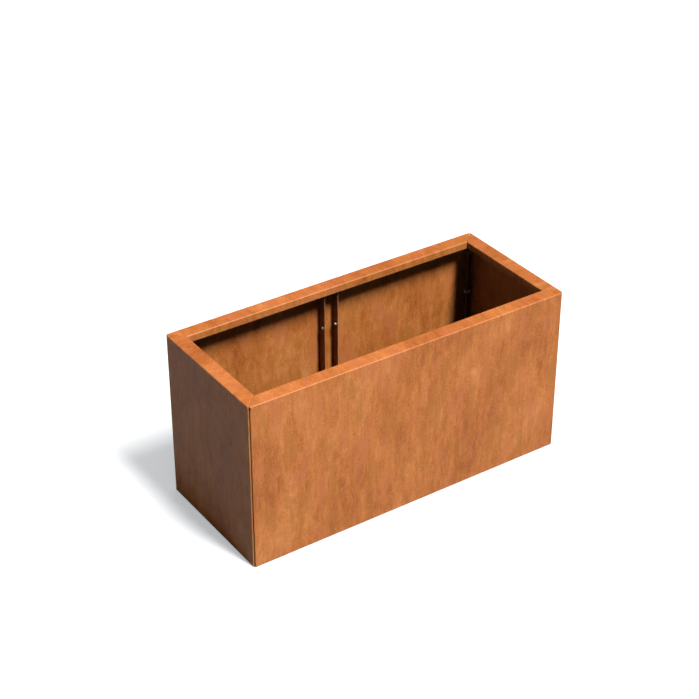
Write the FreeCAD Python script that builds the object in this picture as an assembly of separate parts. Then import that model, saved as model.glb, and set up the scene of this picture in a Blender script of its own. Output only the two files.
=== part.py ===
import FreeCAD, Part

import math
import os
from collections import namedtuple

# Rectangular planter box, folded from weathering-steel sheet and bolted together.
#
# Four folded panels stand round an open box. Each panel is one sheet: a wall, a flat rim folded
# inwards along its top, a lip folded down from the rim's inner edge, a foot folded inwards along the
# ground, and an upright flange at each end, folded back along the diagonal of the corner. Neighbouring
# flanges stand either side of that diagonal and are bolted together with a washer between them, so
# the corner shows outside as a narrow groove between two folds. A U channel stiffens each long wall at
# mid-length. A loose base plate with drainage holes rests on the feet of the panels.
#
# Frame: the origin is the middle of the footprint, on the ground. +X runs along the length, +Y from
# the front to the back, +Z up. Sizes are in millimetres.

# Overall size, over the outsides of the panels.
LENGTH = 1200.0
DEPTH = 500.0
HEIGHT = 600.0

# Folded sheet.
SHEET = 2.0
BEND_INSIDE = 1.0
BEND_OUTSIDE = BEND_INSIDE + SHEET
RIM_WIDTH = 50.0
LIP_DEPTH = 25.0
FOOT_WIDTH = 30.0
MITRE_GAP = 0.8
MITRE_MARGIN = 10.0

# Fasteners. The bore is the nut's, and the washer's own hole is slightly wider.
Screw = namedtuple("Screw", [
    "bolt_radius", "hole_radius", "pitch", "thread_depth", "across_flats", "head_height",
    "nut_height", "bore_radius", "washer_radius", "washer_bore_radius", "washer_thickness",
])
M8 = Screw(
    bolt_radius=4.0, hole_radius=4.5, pitch=1.25, thread_depth=0.65, across_flats=13.0,
    head_height=5.3, nut_height=6.8, bore_radius=4.05, washer_radius=8.0,
    washer_bore_radius=4.2, washer_thickness=1.6,
)
M5 = Screw(
    bolt_radius=2.5, hole_radius=2.75, pitch=0.8, thread_depth=0.42, across_flats=8.0,
    head_height=3.5, nut_height=4.7, bore_radius=2.54, washer_radius=5.0,
    washer_bore_radius=2.65, washer_thickness=1.0,
)
THREAD_START = 1.2
HEX_CHAMFER_DEGREES = 30.0
HEX_CHAMFER_FACE = 0.95
HEX_TURN_DEGREES = 23.0

# Corner flanges. The flange's reach is measured from where its outer face would meet the wall's, the
# bolts' reach from the corner of the footprint, both along the diagonal. The groove is the space
# between the two flanges of a corner, which holds one washer at each bolt.
FLANGE_REACH = 38.0
CORNER_GROOVE = M8.washer_thickness
FLANGE_END_CLEARANCE = 12.0
FLANGE_CHAMFER = 8.0
RELIEF_HEIGHT = 1.5
RELIEF_MARGIN = 1.0
CORNER_BOLT_REACH = 26.0
CORNER_BOLT_LENGTH = 20.0
CORNER_BOLT_ROWS = 4
CORNER_BOLT_PITCH = 160.0
CORNER_BOLT_END = (HEIGHT - (CORNER_BOLT_ROWS - 1) * CORNER_BOLT_PITCH) / 2.0

# U channel on the inside of each long wall, with its web spot-welded flat on the wall.
CHANNEL_INSIDE = 50.0
CHANNEL_WIDTH = CHANNEL_INSIDE + 2.0 * SHEET
CHANNEL_DEPTH = 35.0
CHANNEL_END_CLEARANCE = 6.0
SPOT_RADIUS = 3.0
SPOT_DEPTH = 0.4
SPOT_COUNT = 6
BRACE_BOLT_HEIGHT = 440.0
BRACE_BOLT_EDGE = 10.5
BRACE_BOLT_LENGTH = 10.0

# Base plate.
BASE_CLEARANCE = 2.0
BASE_CHAMFER = 12.0
DRAIN_RADIUS = 12.5
DRAIN_SPACING_X = 400.0
DRAIN_SPACING_Y = 240.0
DRAIN_COLUMNS = 3
DRAIN_ROWS = 2

UP = FreeCAD.Vector(0, 0, 1)
ORIGIN = FreeCAD.Vector(0, 0, 0)
DIAGONAL = 1.0 / math.sqrt(2.0)

# Each panel's turn about +Z from the front, and the corners as (x side, y side).
LONG_PANEL_TURNS = {"front": 0.0, "back": 180.0}
END_PANEL_TURNS = {"right": 90.0, "left": 270.0}
CORNERS = {
    "front_left": (-1, -1),
    "front_right": (1, -1),
    "back_left": (-1, 1),
    "back_right": (1, 1),
}


# ---------------------------------------------------------------- outlines

def flat(a, b):
    """A point of a plan, in the XY plane."""
    return FreeCAD.Vector(a, b, 0)


def section(a, b):
    """A point of an upright section across a panel: a is inwards from the outer face, b is up."""
    return FreeCAD.Vector(0, a, b)


def round_corner(before, corner, after, radius):
    """Start, middle and end of the arc that rounds a corner, all the corner itself if it is sharp."""
    if radius == 0:
        return corner, corner, corner
    back = (before - corner).normalize()
    ahead = (after - corner).normalize()
    half = back.getAngle(ahead) / 2.0
    tangent = radius / math.tan(half)
    bisector = (back + ahead).normalize()
    middle = corner + bisector * (radius / math.sin(half) - radius)
    return corner + back * tangent, middle, corner + ahead * tangent


def outline(corners):
    """A face inside a closed outline, given as (point, radius) corners in order."""
    count = len(corners)
    arcs = []
    for i, (point, radius) in enumerate(corners):
        before = corners[i - 1][0]
        after = corners[(i + 1) % count][0]
        arcs.append(round_corner(before, point, after, radius))
    edges = []
    for i, (start, middle, end) in enumerate(arcs):
        if not start.isEqual(end, 1e-6):
            edges.append(Part.Arc(start, middle, end).toShape())
        following = arcs[(i + 1) % count][0]
        edges.append(Part.makeLine(end, following))
    return Part.Face(Part.Wire(edges))


def bent_sheet(path, place):
    """The section of a bent sheet. The path is its outer surface, turning left at every bend, as
    (a, b) pairs; the sheet lies on the path's left. Place turns a pair into a point."""
    outer = [FreeCAD.Vector(a, b, 0) for a, b in path]
    normals = []
    for start, end in zip(outer, outer[1:]):
        heading = (end - start).normalize()
        normals.append(FreeCAD.Vector(-heading.y, heading.x, 0))
    inner = [outer[0] + normals[0] * SHEET]
    for point, first, second in zip(outer[1:], normals, normals[1:]):
        inner.append(point + (first + second) * (SHEET / (1.0 + first.dot(second))))
    inner.append(outer[-1] + normals[-1] * SHEET)

    def rounded(points, radius):
        radii = [0] + [radius] * (len(points) - 2) + [0]
        return [(place(p.x, p.y), r) for p, r in zip(points, radii)]

    return outline(rounded(outer, BEND_OUTSIDE) + rounded(inner, BEND_INSIDE)[::-1])


# ---------------------------------------------------------------- panels

def mitre_block(length):
    """The space a panel may fill: its plan, cut on both diagonals less half the mitre gap, with the
    outer corners rounded like the upright folds below them."""
    gap = MITRE_GAP / 2.0 / DIAGONAL
    half = length / 2.0 - gap
    inwards = RIM_WIDTH + MITRE_MARGIN
    plan = outline([
        (flat(-half, 0), BEND_OUTSIDE),
        (flat(half, 0), BEND_OUTSIDE),
        (flat(half - inwards, inwards), 0),
        (flat(-half + inwards, inwards), 0),
    ])
    return plan.extrude(UP * HEIGHT)


def wall_rim_and_foot(length):
    """Lip, rim, wall and foot: one section along the panel, mitred at both ends."""
    path = [
        (RIM_WIDTH, HEIGHT - LIP_DEPTH),
        (RIM_WIDTH, HEIGHT),
        (0, HEIGHT),
        (0, 0),
        (FOOT_WIDTH, 0),
    ]
    profile = bent_sheet(path, section)
    profile.translate(FreeCAD.Vector(-length / 2.0, 0, 0))
    strip = profile.extrude(FreeCAD.Vector(length, 0, 0))
    return strip.common(mitre_block(length))


def groove_setback():
    """How far the fold of a corner flange is moved along the wall, away from the corner."""
    return CORNER_GROOVE / 2.0 / DIAGONAL


def wall_and_corner_flanges(length):
    """The wall with an upright flange at each end, folded back along the diagonal."""
    step = FLANGE_REACH * DIAGONAL
    half = length / 2.0 - groove_setback()
    path = [(-half + step, step), (-half, 0), (half, 0), (half - step, step)]
    height = HEIGHT - 2.0 * FLANGE_END_CLEARANCE
    profile = bent_sheet(path, flat)
    profile.translate(UP * FLANGE_END_CLEARANCE)
    return profile.extrude(UP * height)


def corner_bolt_heights():
    return [CORNER_BOLT_END + row * CORNER_BOLT_PITCH for row in range(CORNER_BOLT_ROWS)]


def relief_slots(length, side):
    """Slots through the wall above and below a corner flange, so that its fold can be made."""
    fold = BEND_OUTSIDE * math.tan(math.radians(67.5))
    start = length / 2.0 - groove_setback() - fold - RELIEF_MARGIN
    reach = length / 2.0 - start
    slots = []
    for low in (FLANGE_END_CLEARANCE - RELIEF_HEIGHT, HEIGHT - FLANGE_END_CLEARANCE):
        corner = FreeCAD.Vector(min(side * start, side * (start + reach)), -SHEET, low)
        slots.append(Part.makeBox(reach, SHEET + BEND_OUTSIDE, RELIEF_HEIGHT, corner))
    return slots


def flange_cutters(length, side):
    """What is cut from the flange at one end of a panel: bolt holes and two chamfered corners."""
    corner = FreeCAD.Vector(side * (length / 2.0 - groove_setback()), 0, 0)
    along = FreeCAD.Vector(-side * DIAGONAL, DIAGONAL, 0)
    across = along.cross(UP)
    reach = 2.0 * SHEET
    bolt_reach = CORNER_BOLT_REACH - CORNER_GROOVE / 2.0
    cutters = []
    for height in corner_bolt_heights():
        start = corner + along * bolt_reach + UP * height - across * reach
        cutters.append(Part.makeCylinder(M8.hole_radius, 2.0 * reach, start, across))
    for end, inwards in ((FLANGE_END_CLEARANCE, 1.0), (HEIGHT - FLANGE_END_CLEARANCE, -1.0)):
        tip = corner + along * FLANGE_REACH + UP * end - across * reach
        points = [
            tip - along * FLANGE_CHAMFER,
            tip + along - UP * inwards,
            tip + UP * inwards * FLANGE_CHAMFER,
        ]
        triangle = Part.Face(Part.makePolygon(points + points[:1]))
        cutters.append(triangle.extrude(across * 2.0 * reach))
    return cutters


def panel(length, offset, turn):
    """One folded panel. The offset is from the middle of the planter to the panel's outer face."""
    body = wall_rim_and_foot(length).fuse(wall_and_corner_flanges(length))
    for side in (-1, 1):
        body = body.cut(flange_cutters(length, side) + relief_slots(length, side))
    body = body.removeSplitter()
    body.translate(FreeCAD.Vector(0, -offset, 0))
    body.rotate(ORIGIN, UP, turn)
    return body


# ---------------------------------------------------------------- stiffeners and base

def brace_bolt_depth():
    """The brace bolts' distance inwards from the long wall's outer face."""
    return SHEET + CHANNEL_DEPTH - BRACE_BOLT_EDGE


def spot_weld_dimples(height):
    """The shallow marks that spot welding leaves in the channel's web."""
    ball = (SPOT_RADIUS ** 2 + SPOT_DEPTH ** 2) / (2.0 * SPOT_DEPTH)
    centre = 2.0 * SHEET - SPOT_DEPTH + ball
    pitch = height / SPOT_COUNT
    dimples = []
    for i in range(SPOT_COUNT):
        place = FreeCAD.Vector(0, centre, CHANNEL_END_CLEARANCE + (i + 0.5) * pitch)
        dimples.append(Part.makeSphere(ball, place))
    return dimples


def stiffener(turn):
    """A U channel on the inside of a long wall, its web on the wall and its flanges inwards."""
    half = CHANNEL_WIDTH / 2.0
    tip = SHEET + CHANNEL_DEPTH
    height = HEIGHT - 2.0 * CHANNEL_END_CLEARANCE
    profile = bent_sheet([(-half, tip), (-half, SHEET), (half, SHEET), (half, tip)], flat)
    profile.translate(UP * CHANNEL_END_CLEARANCE)
    body = profile.extrude(UP * height)
    start = FreeCAD.Vector(-CHANNEL_WIDTH, brace_bolt_depth(), BRACE_BOLT_HEIGHT)
    along_x = FreeCAD.Vector(1, 0, 0)
    hole = Part.makeCylinder(M5.hole_radius, 2.0 * CHANNEL_WIDTH, start, along_x)
    body = body.cut([hole] + spot_weld_dimples(height))
    body.translate(FreeCAD.Vector(0, -DEPTH / 2.0, 0))
    body.rotate(ORIGIN, UP, turn)
    return body


def base_plate():
    """A flat plate on the feet, with chamfered corners and a grid of drainage holes."""
    half_x = LENGTH / 2.0 - SHEET - BASE_CLEARANCE
    half_y = DEPTH / 2.0 - SHEET - BASE_CLEARANCE
    cut = BASE_CHAMFER
    plan = outline([(flat(x, y), 0) for x, y in (
        (-half_x + cut, -half_y), (half_x - cut, -half_y),
        (half_x, -half_y + cut), (half_x, half_y - cut),
        (half_x - cut, half_y), (-half_x + cut, half_y),
        (-half_x, half_y - cut), (-half_x, -half_y + cut),
    )])
    body = plan.extrude(UP * SHEET)
    for column in range(DRAIN_COLUMNS):
        for row in range(DRAIN_ROWS):
            x = (column - (DRAIN_COLUMNS - 1) / 2.0) * DRAIN_SPACING_X
            y = (row - (DRAIN_ROWS - 1) / 2.0) * DRAIN_SPACING_Y
            body = body.cut(Part.makeCylinder(DRAIN_RADIUS, SHEET, flat(x, y)))
    body.translate(UP * SHEET)
    return body


# ---------------------------------------------------------------- fasteners
# A fastener is drawn on +Z: its seat, the face against the washer, is at height 0.

def revolve(points):
    """A solid turned about +Z from (radius, height) points."""
    corners = [(FreeCAD.Vector(r, 0, z), 0) for r, z in points]
    return outline(corners).revolve(ORIGIN, UP, 360)


def hexagon(size, height, both_ends):
    """A hexagon block with its corners chamfered at the top, and at the bottom too if asked."""
    corner_radius = size.across_flats / 2.0 / math.cos(math.radians(30.0))
    face_radius = HEX_CHAMFER_FACE * size.across_flats / 2.0
    drop = (corner_radius - face_radius) * math.tan(math.radians(HEX_CHAMFER_DEGREES))
    points = []
    for i in range(6):
        angle = math.radians(60.0 * i)
        points.append(flat(corner_radius * math.cos(angle), corner_radius * math.sin(angle)))
    block = outline([(point, 0) for point in points]).extrude(UP * height)
    turned = [(0, 0), (corner_radius, 0)]
    if both_ends:
        turned = [(0, 0), (face_radius, 0), (corner_radius, drop)]
    turned += [(corner_radius, height - drop), (face_radius, height), (0, height)]
    return block.common(revolve(turned))


def threaded_shank(size, length):
    """A shank below the seat, with a V groove for each turn of its thread."""
    root = size.bolt_radius - size.thread_depth
    points = [(0, 0), (size.bolt_radius, 0), (size.bolt_radius, -THREAD_START)]
    grooves = int((length - THREAD_START) / size.pitch) - 1
    for i in range(grooves):
        top = -THREAD_START - i * size.pitch
        points.append((root, top - size.pitch / 2.0))
        points.append((size.bolt_radius, top - size.pitch))
    points += [(root, -length), (0, -length)]
    return revolve(points)


def bolt(size, length):
    return hexagon(size, size.head_height, False).fuse(threaded_shank(size, length))


def nut(size):
    bore = Part.makeCylinder(size.bore_radius, size.nut_height)
    return hexagon(size, size.nut_height, True).cut(bore)


def washer(size):
    bore = Part.makeCylinder(size.washer_bore_radius, size.washer_thickness)
    return Part.makeCylinder(size.washer_radius, size.washer_thickness).cut(bore)


def set_on(shape, seat, direction, turn):
    """A copy of a fastener turned on its own axis, then set with its seat on a point."""
    placed = shape.copy()
    placed.rotate(ORIGIN, UP, turn)
    placed.Placement = FreeCAD.Placement(
        seat, FreeCAD.Rotation(UP, direction)).multiply(placed.Placement)
    return placed


def fastener_sets(size, length, joints):
    """Bolts, nuts and washers for joints given as (middle, direction of the bolt head, thickness
    of the sheets, gap between them), each as one group of separate solids. A gap holds a washer."""
    bolts, nuts, washers = [], [], []
    for i, (middle, direction, sheets, gap) in enumerate(joints):
        turn = i * HEX_TURN_DEGREES
        face = direction * ((sheets + gap) / 2.0)
        seat = face + direction * size.washer_thickness
        bolts.append(set_on(bolt(size, length), middle + seat, direction, turn))
        nuts.append(set_on(nut(size), middle - seat, -direction, 2.0 * turn))
        washers.append(set_on(washer(size), middle + face, direction, turn))
        washers.append(set_on(washer(size), middle - face, -direction, turn))
        if gap > 0:
            washers.append(set_on(washer(size), middle - direction * (gap / 2.0), direction, turn))
    return {
        "bolts": Part.makeCompound(bolts),
        "nuts": Part.makeCompound(nuts),
        "washers": Part.makeCompound(washers),
    }


def corner_joints(x_side, y_side):
    """The bolted joints of one corner. The heads are on the long panel's side of the diagonal."""
    corner = FreeCAD.Vector(x_side * LENGTH / 2.0, y_side * DEPTH / 2.0, 0)
    along = FreeCAD.Vector(-x_side * DIAGONAL, -y_side * DIAGONAL, 0)
    direction = FreeCAD.Vector(-x_side * DIAGONAL, y_side * DIAGONAL, 0)
    joints = []
    for height in corner_bolt_heights():
        middle = corner + along * CORNER_BOLT_REACH + UP * height
        joints.append((middle, direction, 2.0 * SHEET, CORNER_GROOVE))
    return joints


def brace_joints(y_side):
    """The bolts in a stiffener's two flanges, with their heads outside the channel."""
    y = y_side * (DEPTH / 2.0 - brace_bolt_depth())
    joints = []
    for x_side in (-1, 1):
        x = x_side * (CHANNEL_WIDTH - SHEET) / 2.0
        middle = FreeCAD.Vector(x, y, BRACE_BOLT_HEIGHT)
        joints.append((middle, FreeCAD.Vector(x_side, 0, 0), SHEET, 0.0))
    return joints


# ---------------------------------------------------------------- assembly

def build():
    """Every sub-part by node name."""
    nodes = {}
    for name, turn in LONG_PANEL_TURNS.items():
        nodes[name + "_panel"] = panel(LENGTH, DEPTH / 2.0, turn)
        nodes[name + "_stiffener"] = stiffener(turn)
    for name, turn in END_PANEL_TURNS.items():
        nodes[name + "_end_panel"] = panel(DEPTH, LENGTH / 2.0, turn)
    nodes["base_plate"] = base_plate()
    for name, (x_side, y_side) in CORNERS.items():
        group = fastener_sets(M8, CORNER_BOLT_LENGTH, corner_joints(x_side, y_side))
        for kind, shape in group.items():
            nodes[f"{name}_corner_{kind}"] = shape
    for name, y_side in (("front", -1), ("back", 1)):
        group = fastener_sets(M5, BRACE_BOLT_LENGTH, brace_joints(y_side))
        for kind, shape in group.items():
            nodes[f"{name}_brace_{kind}"] = shape
    return nodes


os.makedirs("parts", exist_ok=True)
for node, shape in build().items():
    shape.exportStep(f"parts/{node}.step")
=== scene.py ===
import math
from collections import namedtuple
from functools import partial

import bpy
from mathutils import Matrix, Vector


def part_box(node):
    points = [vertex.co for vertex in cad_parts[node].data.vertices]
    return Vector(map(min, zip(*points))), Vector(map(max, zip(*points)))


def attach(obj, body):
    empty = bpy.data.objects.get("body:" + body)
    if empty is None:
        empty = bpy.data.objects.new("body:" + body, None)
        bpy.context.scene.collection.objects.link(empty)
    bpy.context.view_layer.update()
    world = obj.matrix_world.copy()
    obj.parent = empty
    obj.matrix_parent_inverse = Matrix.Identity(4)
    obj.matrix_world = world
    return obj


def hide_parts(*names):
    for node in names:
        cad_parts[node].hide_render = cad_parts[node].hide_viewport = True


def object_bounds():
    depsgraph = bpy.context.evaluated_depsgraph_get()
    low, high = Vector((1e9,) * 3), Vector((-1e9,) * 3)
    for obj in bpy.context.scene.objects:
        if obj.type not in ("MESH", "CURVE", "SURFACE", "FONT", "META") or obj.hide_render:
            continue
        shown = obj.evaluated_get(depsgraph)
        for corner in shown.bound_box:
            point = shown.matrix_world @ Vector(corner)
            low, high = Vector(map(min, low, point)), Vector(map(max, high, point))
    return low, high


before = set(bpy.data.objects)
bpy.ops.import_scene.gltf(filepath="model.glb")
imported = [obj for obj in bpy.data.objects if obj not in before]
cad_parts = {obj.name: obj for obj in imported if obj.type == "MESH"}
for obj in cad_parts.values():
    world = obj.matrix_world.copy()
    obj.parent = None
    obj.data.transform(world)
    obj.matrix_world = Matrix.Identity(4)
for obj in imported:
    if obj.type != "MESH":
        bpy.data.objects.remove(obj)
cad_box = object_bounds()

# Planter box, folded from weathering-steel sheet and bolted together. Sizes are in metres, in the
# frame's own axes: +X along the length, +Y from the front to the back, +Z up.

MM = 0.001

# ------- sizes from the frame

LENGTH, DEPTH, HEIGHT = cad_box[1] - cad_box[0]
RIM_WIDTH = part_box("front_panel")[1].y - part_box("front_panel")[0].y
BASE_LOW, BASE_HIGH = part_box("base_plate")
BASE_HALF_X = BASE_HIGH.x
BASE_HALF_Y = BASE_HIGH.y
BASE_HEIGHT = BASE_LOW.z
CHANNEL_LOW, CHANNEL_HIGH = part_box("front_stiffener")
CHANNEL_HALF_WIDTH = CHANNEL_HIGH.x
CHANNEL_DEPTH = CHANNEL_HIGH.y - CHANNEL_LOW.y
CHANNEL_BOTTOM = CHANNEL_LOW.z
CHANNEL_TOP = CHANNEL_HIGH.z

# ------- sizes of the folded sheet

SHEET = 2.0 * MM
BEND = 3.0 * MM
LIP_DEPTH = 25.0 * MM
FOOT_WIDTH = 30.0 * MM
MITRE_SETBACK = 0.4 * MM * math.sqrt(2.0)
FLANGE_REACH = 38.0 * MM
CORNER_GROOVE = 1.6 * MM
GROOVE_SETBACK = CORNER_GROOVE / math.sqrt(2.0)
FLANGE_END_CLEARANCE = 12.0 * MM
FLANGE_CHAMFER = 8.0 * MM
RELIEF_HEIGHT = 1.5 * MM
RELIEF_MARGIN = 1.0 * MM
CORNER_BOLT_REACH = 26.0 * MM
CORNER_BOLT_HEIGHTS = [(60.0 + 160.0 * row) * MM for row in range(4)]
CORNER_BOLT_LENGTH = 20.0 * MM
SPOT_COUNT = 6
SPOT_RADIUS = 3.0 * MM
SPOT_DEPTH = 0.4 * MM
BRACE_BOLT_HEIGHT = 440.0 * MM
BRACE_BOLT_EDGE = 10.5 * MM
BRACE_BOLT_LENGTH = 10.0 * MM
BASE_CHAMFER = 12.0 * MM
DRAIN_RADIUS = 12.5 * MM
DRAIN_X = 400.0 * MM
DRAIN_Y = 120.0 * MM

# How finely the sheet is divided, and how much its edges are softened.
WALL_CELL = 20.0 * MM
RIM_CELL = 6.0 * MM
BEND_CELL = 0.8 * MM
FLANGE_CELL = 4.0 * MM
CHANNEL_CELL = 9.0 * MM
BASE_CELL = 30.0 * MM
DRAIN_CELL = 5.0 * MM
END_STRETCH = 90.0 * MM
HOLE_CELLS = 8
HOLE_BLOCK = 7.0 * MM
HOLE_CELL = 2.0 * HOLE_BLOCK / HOLE_CELLS
EDGE_ROUND = 0.3 * MM
EDGE_GUARD = 2.0 * MM
WAVE = 0.35 * MM
DEPTH_SPREAD = 300.0
MITRE_EASE = 60.0 * MM

# ------- sizes of the fasteners

Screw = namedtuple("Screw", [
    "bolt_radius", "hole_radius", "pitch", "thread_depth", "across_flats", "head_height",
    "nut_height", "bore_radius", "washer_radius", "washer_bore_radius", "washer_thickness",
])
M8 = Screw(
    bolt_radius=4.0 * MM, hole_radius=4.5 * MM, pitch=1.25 * MM, thread_depth=0.65 * MM,
    across_flats=13.0 * MM, head_height=5.3 * MM, nut_height=6.8 * MM, bore_radius=4.05 * MM,
    washer_radius=8.0 * MM, washer_bore_radius=4.2 * MM, washer_thickness=1.6 * MM,
)
M5 = Screw(
    bolt_radius=2.5 * MM, hole_radius=2.75 * MM, pitch=0.8 * MM, thread_depth=0.42 * MM,
    across_flats=8.0 * MM, head_height=3.5 * MM, nut_height=4.7 * MM, bore_radius=2.54 * MM,
    washer_radius=5.0 * MM, washer_bore_radius=2.65 * MM, washer_thickness=1.0 * MM,
)
THREAD_START = 1.2 * MM
HEX_CHAMFER_SLOPE = math.tan(math.radians(30.0))
HEX_CHAMFER_FACE = 0.95
HEX_TURN = math.radians(23.0)
TURN_STEPS = 72
THREAD_STEPS = 24
THREAD_ROWS_PER_PITCH = 8
SOFT_EDGE = 0.2 * MM

# ------- helpers

def smooth_step(low, high, value):
    t = min(max((value - low) / (high - low), 0.0), 1.0)
    return t * t * (3.0 - 2.0 * t)


def spaced(start, end, cell):
    """Points from start to end, both included, no more than a cell apart."""
    count = max(1, math.ceil(abs(end - start) / cell - 1e-6))
    return [start + (end - start) * i / count for i in range(count + 1)]


def chain(start, stretches):
    """Grid lines from a start to the end of each stretch, given as (end, largest cell)."""
    lines = [start]
    for end, cell in stretches:
        lines += spaced(lines[-1], end, cell)[1:]
    return lines


def mirrored(half):
    """Grid lines on both sides of 0, from those on the positive side."""
    return [-u for u in half[:0:-1]] + half


# ------- folded sheet
# A sheet is meshed in its flat pattern, as columns (u) and rows (v) of cells, and then bent. A bend
# function takes a point of the pattern and its depth below the outer surface, and returns where it
# goes. The pattern's own coordinates are kept on the mesh, so that the patina runs round the folds.

class Pattern:
    """The flat pattern of one sheet."""

    def __init__(self, columns, rows, keep, place, holes=(), dents=()):
        self.columns = columns
        self.rows = rows
        self.keep = keep
        self.place = place
        self.holes = list(holes)
        self.dents = list(dents)
        self.points = []
        self.faces = []
        self.index = {}

    def node(self, column, row):
        """The number of a grid point."""
        key = (column, row)
        if key not in self.index:
            self.index[key] = len(self.points)
            self.points.append((self.columns[column], self.rows[row]))
        return self.index[key]

    def block(self, centre):
        """The first column and row of the block of cells that a round patch takes the place of."""
        half = HOLE_CELLS // 2
        column = min(range(len(self.columns)), key=lambda i: abs(self.columns[i] - centre[0]))
        row = min(range(len(self.rows)), key=lambda i: abs(self.rows[i] - centre[1]))
        return column - half, row - half

    def block_border(self, column, row):
        """The grid points round a block, anticlockwise in the pattern."""
        n = HOLE_CELLS
        border = [(column + i, row) for i in range(n)]
        border += [(column + n, row + i) for i in range(n)]
        border += [(column + n - i, row + n) for i in range(n)]
        border += [(column, row + n - i) for i in range(n)]
        return [self.node(c, r) for c, r in border]

    def round_patch(self, centre, radii):
        """Rings of cells from a block's border in to the last radius, which is filled if it is 0."""
        ring = self.block_border(*self.block(centre))
        angles = [math.atan2(self.points[p][1] - centre[1], self.points[p][0] - centre[0])
                  for p in ring]
        for radius in radii:
            if radius == 0:
                middle = len(self.points)
                self.points.append(centre)
                for i in range(len(ring)):
                    self.faces.append((ring[i], ring[(i + 1) % len(ring)], middle))
                return
            inner = []
            for angle in angles:
                inner.append(len(self.points))
                u = centre[0] + radius * math.cos(angle)
                v = centre[1] + radius * math.sin(angle)
                self.points.append((u, v))
            for i in range(len(ring)):
                j = (i + 1) % len(ring)
                self.faces.append((ring[i], ring[j], inner[j], inner[i]))
            ring = inner

    def build(self):
        """Fills the pattern with cells."""
        taken = set()
        for centre, radius in self.holes + self.dents:
            column, row = self.block(centre)
            for i in range(HOLE_CELLS):
                for j in range(HOLE_CELLS):
                    taken.add((column + i, row + j))
        for i in range(len(self.columns) - 1):
            for j in range(len(self.rows) - 1):
                if (i, j) in taken or not self.keep(i, j):
                    continue
                corners = ((i, j), (i + 1, j), (i + 1, j + 1), (i, j + 1))
                self.faces.append(tuple(self.node(c, r) for c, r in corners))
        for centre, radius in self.holes:
            self.round_patch(centre, (radius * 1.3, radius + 3.0 * EDGE_ROUND, radius))
        for centre, radius in self.dents:
            self.round_patch(centre, (radius * 1.3, radius, radius * 0.8, radius * 0.5, 0))

    def border(self):
        """Edges that only one cell uses, as (start, end), with the sheet on their left."""
        used = set()
        for face in self.faces:
            for a, b in zip(face, face[1:] + face[:1]):
                used.add((a, b))
        return [(a, b) for a, b in used if (b, a) not in used]


def border_normals(points, border):
    """For each point on the border, the step that moves it inwards by one unit from its edges."""
    normals = {}
    for a, b in sorted(border):
        along = Vector(points[b]) - Vector(points[a])
        if along.length < 1e-9:
            continue
        along.normalize()
        for point in (a, b):
            normals.setdefault(point, []).append(Vector((-along.y, along.x)))
    steps = {}
    for point, found in normals.items():
        total = sum(found[1:], found[0])
        size = max(total.length_squared / len(found), 0.3)
        steps[point] = total / size
    return steps


def surface_normal(bend, u, v, depth):
    """The unit normal of the sheet at a point, towards greater depth."""
    step = 0.01 * MM
    along_u = Vector(bend(u + step, v, depth)) - Vector(bend(u - step, v, depth))
    along_v = Vector(bend(u, v + step, depth)) - Vector(bend(u, v - step, depth))
    return along_u.cross(along_v).normalized()


def edge_normal(bend, u, v, depth, inwards):
    """The unit normal of the sheet's cut edge at a point, away from the sheet."""
    step = 0.01 * MM
    inside = Vector(bend(u + inwards.x * step, v + inwards.y * step, depth))
    return (Vector(bend(u, v, depth)) - inside).normalized()


def sheet_mesh(name, pattern, bend, marks, shift):
    """The solid sheet. Marks gives (fold, groove) at a point of the pattern; shift moves the
    pattern's coordinates, so that no two sheets have the same patina."""
    pattern.build()
    border = sorted(pattern.border())
    rim = sorted({point for edge in border for point in edge})
    vertices, normals, coords, folds, edges, grooves = [], [], [], [], [], []

    def add(u, v, depth, normal, edge):
        fold, groove = marks(u, v)
        vertices.append(bend(u, v, depth))
        normals.append(normal)
        coords.append((u + shift[0], v + shift[1], depth * DEPTH_SPREAD + shift[2]))
        folds.append(fold)
        edges.append(edge)
        grooves.append(groove)
        return len(vertices) - 1

    def outline(depth):
        """The pattern's trimmed points at one depth, and the steps inwards from its border."""
        flat = [pattern.place(u, v, depth) for u, v in pattern.points]
        return flat, border_normals(flat, border)

    def face_layer(depth, outwards):
        """The pattern's points on one face of the sheet, its border moved inwards."""
        flat, steps = outline(depth)
        numbers = []
        for i, (u, v) in enumerate(flat):
            edge = 0.0
            if i in steps:
                u += steps[i].x * EDGE_ROUND
                v += steps[i].y * EDGE_ROUND
                edge = 0.3
            normal = surface_normal(bend, u, v, depth) * outwards
            numbers.append(add(u, v, depth, normal, edge))
        return numbers

    def edge_layer(depth):
        """The points of the cut edge at one depth."""
        flat, steps = outline(depth)
        numbers = {}
        for i in rim:
            u, v = flat[i]
            inwards = steps.get(i, Vector((0.0, 1.0)))
            numbers[i] = add(u, v, depth, edge_normal(bend, u, v, depth, inwards), 1.0)
        return numbers

    layers = [face_layer(0.0, -1.0), edge_layer(EDGE_ROUND), edge_layer(SHEET - EDGE_ROUND),
              face_layer(SHEET, 1.0)]
    faces = []
    for face in pattern.faces:
        faces.append(tuple(layers[0][p] for p in reversed(face)))
        faces.append(tuple(layers[3][p] for p in face))
    for a, b in border:
        for upper, lower in zip(layers, layers[1:]):
            faces.append((upper[a], upper[b], lower[b], lower[a]))
    mesh = bpy.data.meshes.new(name)
    mesh.from_pydata(vertices, [], faces)
    store(mesh, "pattern", "FLOAT_VECTOR", coords)
    store(mesh, "fold", "FLOAT", folds)
    store(mesh, "edge", "FLOAT", edges)
    store(mesh, "groove", "FLOAT", grooves)
    mesh.polygons.foreach_set("use_smooth", [True] * len(mesh.polygons))
    mesh.normals_split_custom_set_from_vertices(normals)
    mesh.update()
    return mesh


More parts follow.
